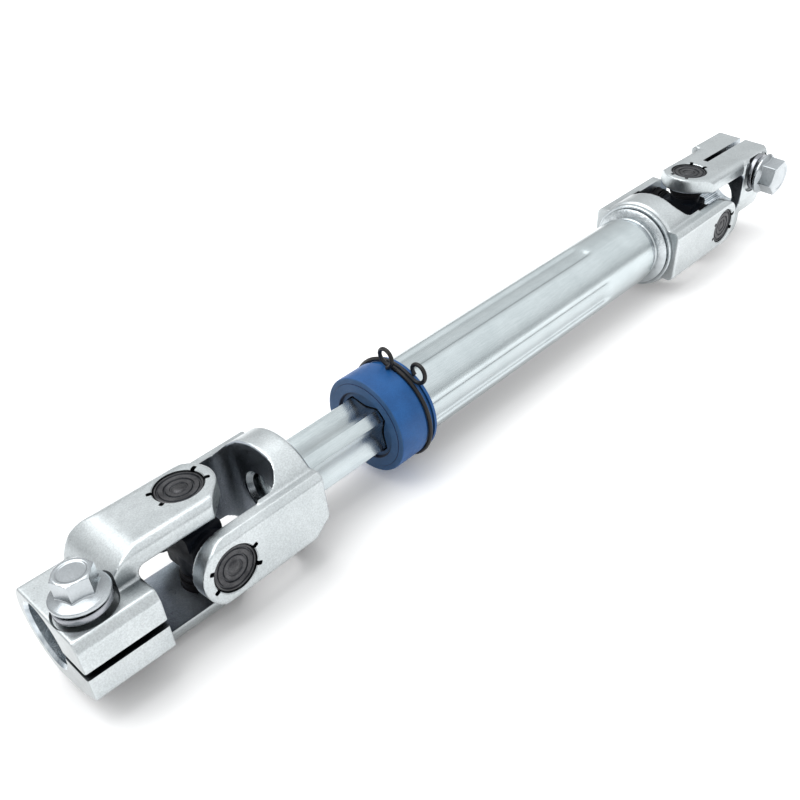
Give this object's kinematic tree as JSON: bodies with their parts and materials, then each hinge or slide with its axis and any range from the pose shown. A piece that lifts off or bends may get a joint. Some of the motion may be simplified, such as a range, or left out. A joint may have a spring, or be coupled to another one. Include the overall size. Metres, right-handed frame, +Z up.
{
  "type": "intermediate steering shaft",
  "caption": "Telescoping steering shaft with a universal joint and a splined pinch clamp at each end, and a blue plastic collar with a wire clip on its tube.",
  "frame": {"origin": "middle of the assembly's box, on the floor that it lies on", "axes": "+X along the shaft from the sliding end's joint to the tube end's joint, +Z up through the sliding end's upper bearing cup"},
  "size_m": [0.381, 0.052, 0.0474],
  "materials": {
    "forged_yoke": "zinc-plated forging with a fine grain",
    "shaft_steel": "satin zinc-plated steel",
    "fastener": "bright zinc-plated steel",
    "bearing_steel": "dark oiled steel",
    "seal_rubber": "matte",
    "blue_plastic": "moulded, half matt",
    "black_wire": "black spring wire",
    "nylon": "natural moulded nylon"
  },
  "bodies": {
    "tube": {"outer_tube": "shaft_steel", "wiper_collar": "blue_plastic", "wire_clip": "black_wire", "weld_ring": "fastener", "tube_yoke": "forged_yoke", "far_cup_front": "bearing_steel", "far_needles_front": "bearing_steel", "far_seal_front": "seal_rubber", "far_cup_back": "bearing_steel", "far_needles_back": "bearing_steel", "far_seal_back": "seal_rubber"},
    "shaft": {"inner_shaft": "shaft_steel", "nylon_sleeve": "nylon", "shaft_yoke": "forged_yoke", "near_cup_front": "bearing_steel", "near_needles_front": "bearing_steel", "near_seal_front": "seal_rubber", "near_cup_back": "bearing_steel", "near_needles_back": "bearing_steel", "near_seal_back": "seal_rubber"},
    "near_cross": {"near_cross": "bearing_steel"},
    "near_clamp": {"near_clamp_yoke": "forged_yoke", "near_pinch_bolt": "fastener", "near_lock_washer": "fastener", "near_cup_top": "bearing_steel", "near_needles_top": "bearing_steel", "near_seal_top": "seal_rubber", "near_cup_bottom": "bearing_steel", "near_needles_bottom": "bearing_steel", "near_seal_bottom": "seal_rubber"},
    "far_cross": {"far_cross": "bearing_steel"},
    "far_clamp": {"far_clamp_yoke": "forged_yoke", "far_pinch_bolt": "fastener", "far_lock_washer": "fastener", "far_cup_top": "bearing_steel", "far_needles_top": "bearing_steel", "far_seal_top": "seal_rubber", "far_cup_bottom": "bearing_steel", "far_needles_bottom": "bearing_steel", "far_seal_bottom": "seal_rubber"}
  },
  "joints": [
    {"name": "telescope_slide", "type": "slide", "parent": "tube", "child": "shaft", "axis": [1, 0, 0], "range_m": [-0.038, 0.034]},
    {"name": "near_cross_hinge", "type": "hinge", "parent": "shaft", "child": "near_cross", "pos_m": [-0.14033, 0.00417, 0.0217], "axis": [0, 1, 0], "range_deg": [-28, 28]},
    {"name": "near_clamp_hinge", "type": "hinge", "parent": "near_cross", "child": "near_clamp", "pos_m": [-0.14033, 0.00417, 0.0217], "axis": [0, 0, 1], "range_deg": [-26, 26]},
    {"name": "far_cross_hinge", "type": "hinge", "parent": "tube", "child": "far_cross", "pos_m": [0.14167, 0.00417, 0.0217], "axis": [0, 0.993, 0.1184], "range_deg": [-28, 28]},
    {"name": "far_clamp_hinge", "type": "hinge", "parent": "far_cross", "child": "far_clamp", "pos_m": [0.14167, 0.00417, 0.0217], "axis": [0, -0.1184, 0.993], "range_deg": [-26, 26]}
  ]
}
